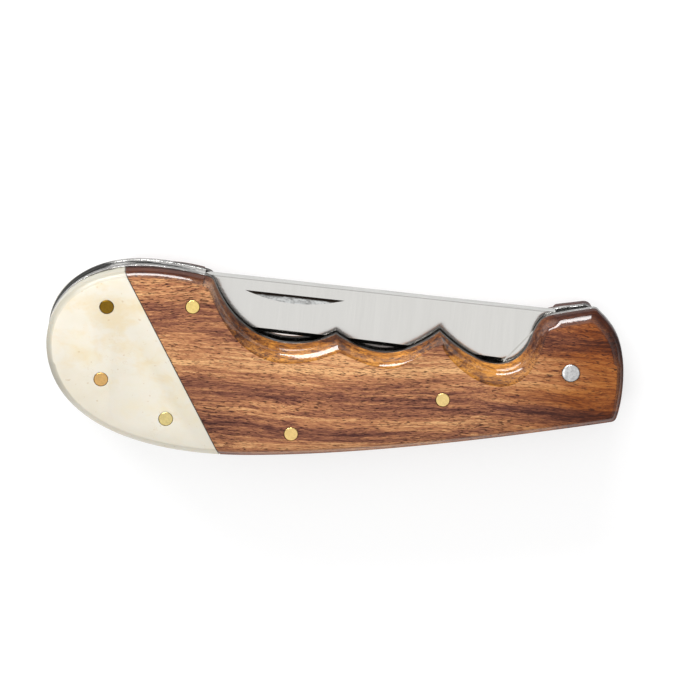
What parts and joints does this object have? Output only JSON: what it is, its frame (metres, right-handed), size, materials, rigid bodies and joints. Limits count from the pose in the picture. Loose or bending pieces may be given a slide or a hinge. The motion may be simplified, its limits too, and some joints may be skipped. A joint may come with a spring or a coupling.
{
  "type": "folding pocket knife",
  "caption": "Closed slip-joint folding pocket knife with finger-grooved rosewood scales, bone butt caps, brass pins and a steel blade with a nail nick.",
  "frame": {"origin": "under the middle of the closed knife's box, on the surface that the back scale lies on", "axes": "+X towards the pivot end, +Y towards the opening side where the blade's spine shows, +Z from the back scale up to the front scale"},
  "size_m": [0.12, 0.0404, 0.0144],
  "materials": {
    "rosewood": "glossy lacquered reddish-brown hardwood with dark streaks and fine pores",
    "bone": "polished natural bone, ivory cream with faint yellow mottling",
    "liner_steel": "ground and polished steel sheet",
    "spring_steel": "polished spring steel with light tarnish",
    "blade_steel": "satin, brushed across the blade",
    "brass": "brass rod filed flush and lightly tarnished"
  },
  "bodies": {
    "handle": {"front_wood_scale": "rosewood", "back_wood_scale": "rosewood", "front_bone_cap": "bone", "back_bone_cap": "bone", "front_liner": "liner_steel", "back_liner": "liner_steel", "butt_spacer": "spring_steel", "backspring": "spring_steel", "pivot_pin": "spring_steel", "butt_pin_upper": "brass", "butt_pin_middle": "brass", "spring_pin_butt": "brass", "scale_pin_upper": "brass", "spring_pin_middle": "brass", "scale_pin_lower": "brass"},
    "blade": {"blade": "blade_steel"}
  },
  "joints": [
    {"name": "blade_pivot", "type": "hinge", "parent": "handle", "child": "blade", "pos_m": [0.049, -0.002, 0.007], "axis": [0, 0, -1], "range_deg": [0, 168]}
  ]
}
